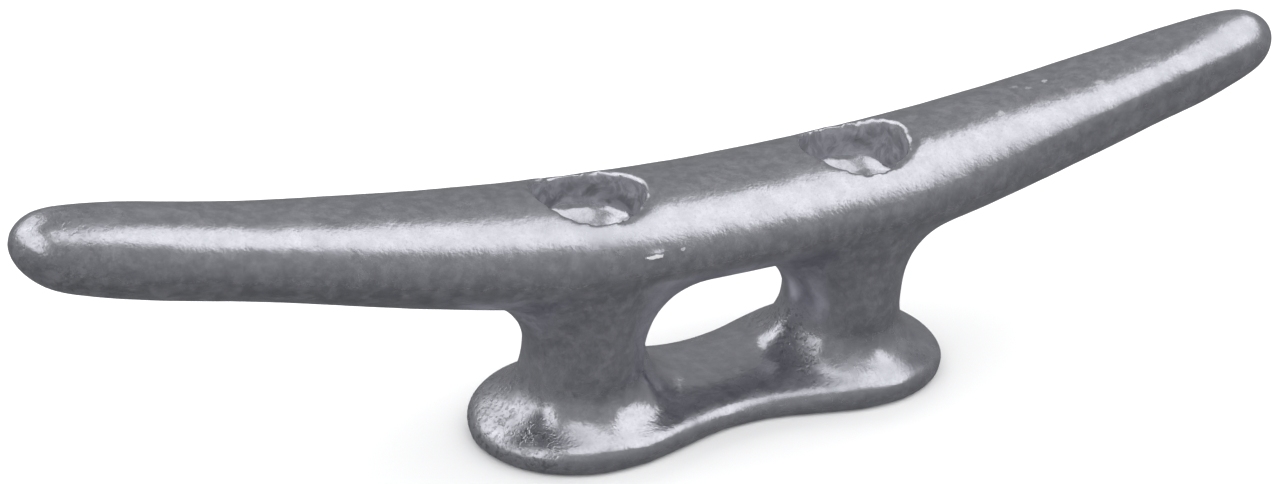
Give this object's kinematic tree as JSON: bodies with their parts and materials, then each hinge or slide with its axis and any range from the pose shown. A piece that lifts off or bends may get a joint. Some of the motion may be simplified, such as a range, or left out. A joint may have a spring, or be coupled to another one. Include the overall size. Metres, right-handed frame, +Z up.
{
  "type": "dock cleat",
  "caption": "Galvanised open-base dock cleat: two upswept horns on two legs over a waisted base, with countersunk bolt holes down through the legs.",
  "frame": {"origin": "on the deck face of the base, midway between the two bolt holes", "axes": "+X along the horns, +Y across the cleat, +Z up from the deck"},
  "size_m": [0.203, 0.031, 0.0488],
  "materials": {
    "galvanised_iron": "hot-dip galvanised over a sand casting: bright blue-grey zinc, satin to bright, with fine lumps and dross"
  },
  "bodies": {
    "root": {"cleat_casting": "galvanised_iron"}
  },
  "joints": []
}
